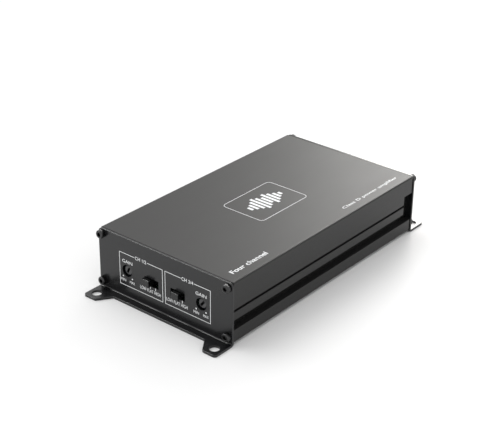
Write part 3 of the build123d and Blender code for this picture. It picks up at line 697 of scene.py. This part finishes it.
for x in SWITCH_X:
    front_print.word("LOW FLAT HIGH", (x, SWITCH_WORD_Z), 2.3, width=17.0)
    for side in (-1, 0, 1):
        front_print.strip([(x + side * SWITCH_STEP, z) for z in SWITCH_TICK_Z], TICK)
front_print.make(ink_white, "chassis")

# the roof: a row of level bars in a rounded outline, and words along one side
roof_print = Print("roof_print", Matrix.Identity(4), (0, 0, roof_z))
FRAME_X, FRAME_Y, FRAME_R = (-14.65, 17.85), (-23.3, 23.3), 3.0
FRAME_LINE, FRAME_STEPS = 0.34, 8
outline = []
for start, x, y in ((0, FRAME_X[1] - FRAME_R, FRAME_Y[1] - FRAME_R),
                    (90, FRAME_X[0] + FRAME_R, FRAME_Y[1] - FRAME_R),
                    (180, FRAME_X[0] + FRAME_R, FRAME_Y[0] + FRAME_R),
                    (270, FRAME_X[1] - FRAME_R, FRAME_Y[0] + FRAME_R)):
    for i in range(FRAME_STEPS + 1):
        angle = math.radians(start + i * 90 / FRAME_STEPS)
        outline.append((x + FRAME_R * math.cos(angle), y + FRAME_R * math.sin(angle)))
roof_print.strip(outline, FRAME_LINE, closed=True)
BARS = (0.25, 0.45, 0.7, 1.0, 0.8, 0.55, 0.9, 0.65, 0.4, 0.2)  # each bar's share of the longest
BAR_PITCH, BAR_REACH, BAR_HALF = 3.3, 8.5, 1.0
middle = (FRAME_X[0] + FRAME_X[1]) / 2
for i, share in enumerate(BARS):
    y = (i - (len(BARS) - 1) / 2) * BAR_PITCH
    reach = BAR_REACH * share
    roof_print.box((middle - reach, y - BAR_HALF), (middle + reach, y + BAR_HALF))
roof_print.make(ink_white, "chassis")

roof_words = Print("roof_words", ROOF_SIDEWAYS, (0, 0, roof_z))
roof_words.word("Four channel", (-68.7, -44.5), 3.7, width=32.0, weight=0.02)
roof_words.word("Class D power amplifier", (53.7, -45.4), 3.1, width=60.0)
roof_words.make(ink_white, "chassis")

# the rear plate: each word stands by its connector
rear_print = Print("rear_print", REAR, (0, rear_y, 0))
BOLD = 0.02
INPUT_X, INPUT_Z = (14.6, 44.4), (10.2, 38.0)  # the outline round the inputs
INPUT_MIDDLE, INPUT_GAP = 29.5, 7.0
rear_print.strip([(INPUT_MIDDLE - INPUT_GAP, INPUT_Z[1]), (INPUT_X[0], INPUT_Z[1]),
                  (INPUT_X[0], INPUT_Z[0]), (INPUT_X[1], INPUT_Z[0]),
                  (INPUT_X[1], INPUT_Z[1]), (INPUT_MIDDLE + INPUT_GAP, INPUT_Z[1])], LINE)
for text, place, height, width in (("INPUTS", (INPUT_MIDDLE, INPUT_Z[1]), 1.9, 10.5),
                                   ("L", (36.0, 24.2), 1.8, None),
                                   ("R", (22.0, 24.2), 1.8, None),
                                   ("1/2", (29.0, 31.2), 1.8, None),
                                   ("3/4", (29.0, 17.2), 1.8, None),
                                   ("SPEAKERS", (1.2, 24.2), 1.9, 14.0),
                                   ("POWER", (1.2, 35.2), 1.6, 7.5)):
    rear_print.word(text, place, height, width=width, weight=BOLD)
for text, x in (("REM", 15.0), ("GND", 23.2), ("+12V", 31.4)):
    rear_print.word(text, (-x, 27.0), 1.7, width=5.4, weight=BOLD)
    rear_print.strip([(-x, 25.2), (-x, 24.8)], 0.45)
rear_print.word("FUSE", (-41.0, 35.0), 1.8, width=6.6, weight=BOLD)
rear_print.make(ink_white, "chassis")


# ---------------------------------------------------------------- floor, light and camera


def area_light(name, place, aim, size, power, colour=(1, 1, 1)):
    """A rectangular light that is seen only in sheens: the roof's and those along the bends."""
    lamp = bpy.data.lights.new(name, "AREA")
    lamp.shape = "RECTANGLE"
    lamp.size, lamp.size_y = size
    lamp.energy = power
    lamp.color = colour
    holder = bpy.data.objects.new(name, lamp)
    holder.location = place
    holder.rotation_euler = (Vector(aim) - Vector(place)).to_track_quat("-Z", "Y").to_euler()
    holder.visible_diffuse = False
    bpy.context.scene.collection.objects.link(holder)


world = bpy.data.worlds.new("studio")
world.use_nodes = True
background = world.node_tree.nodes["Background"]
background.inputs["Color"].default_value = (1, 1, 1, 1)
background.inputs["Strength"].default_value = 1.05
bpy.context.scene.world = world

floor_mesh = bpy.data.meshes.new("floor")
FLOOR_HALF, FLOOR_Z = 3.0, -0.02 * MM  # just clear of the flanges' undersides
floor_corners = [(x * FLOOR_HALF, y * FLOOR_HALF, FLOOR_Z)
                 for x, y in ((-1, -1), (1, -1), (1, 1), (-1, 1))]
floor_mesh.from_pydata(floor_corners, [], [(0, 1, 2, 3)])
floor_object = bpy.data.objects.new("floor", floor_mesh)
bpy.context.scene.collection.objects.link(floor_object)
floor_finish = Finish("floor", 0.6)
paper = floor_finish.ramp(floor_finish.noise(0.1), 0.3, 0.7)
floor_finish.colour(floor_finish.mix(paper, (0.80, 0.80, 0.80), (0.81, 0.81, 0.81)))
floor_mesh.materials.append(floor_finish.material)

sky = bpy.data.lights.new("sky", "SUN")
sky.energy = 0.85
sky.angle = math.radians(50)
sky_holder = bpy.data.objects.new("sky", sky)
sky_holder.rotation_euler = Vector((0.95, 0.15, -1.1)).to_track_quat("-Z", "Y").to_euler()
bpy.context.scene.collection.objects.link(sky_holder)
area_light("back", (-0.14, 0.72, 0.40), aim=(0, 0.1, 0.04), size=(0.5, 0.45), power=8.4,
           colour=(1.0, 0.985, 0.955))
area_light("high", (-0.46, -0.05, 0.66), aim=(0, 0, 0.02), size=(0.25, 0.25), power=3.4)
bpy.context.scene.view_settings.view_transform = "Standard"

CAMERA_PLACE = (0.4464, -0.5634, 0.4004)
CAMERA_TURN = (39.57, 27.51, 0.55)  # azimuth, elevation and roll in degrees
camera_data = bpy.data.cameras.new("camera")
camera_data.lens = 94.7
camera_data.sensor_width = 36
camera_data.clip_start = 0.01
camera = bpy.data.objects.new("camera", camera_data)
azimuth, elevation, roll = (math.radians(a) for a in CAMERA_TURN)
back = Vector((math.sin(azimuth) * math.cos(elevation), -math.cos(azimuth) * math.cos(elevation),
               math.sin(elevation)))
right = Vector((math.cos(azimuth), math.sin(azimuth), 0))
up = back.cross(right)
tilted_right = right * math.cos(roll) + up * math.sin(roll)
tilted_up = up * math.cos(roll) - right * math.sin(roll)
camera.matrix_world = (Matrix.Translation(CAMERA_PLACE)
                       @ Matrix((tilted_right, tilted_up, back)).transposed().to_4x4())
bpy.context.scene.collection.objects.link(camera)
bpy.context.scene.camera = camera
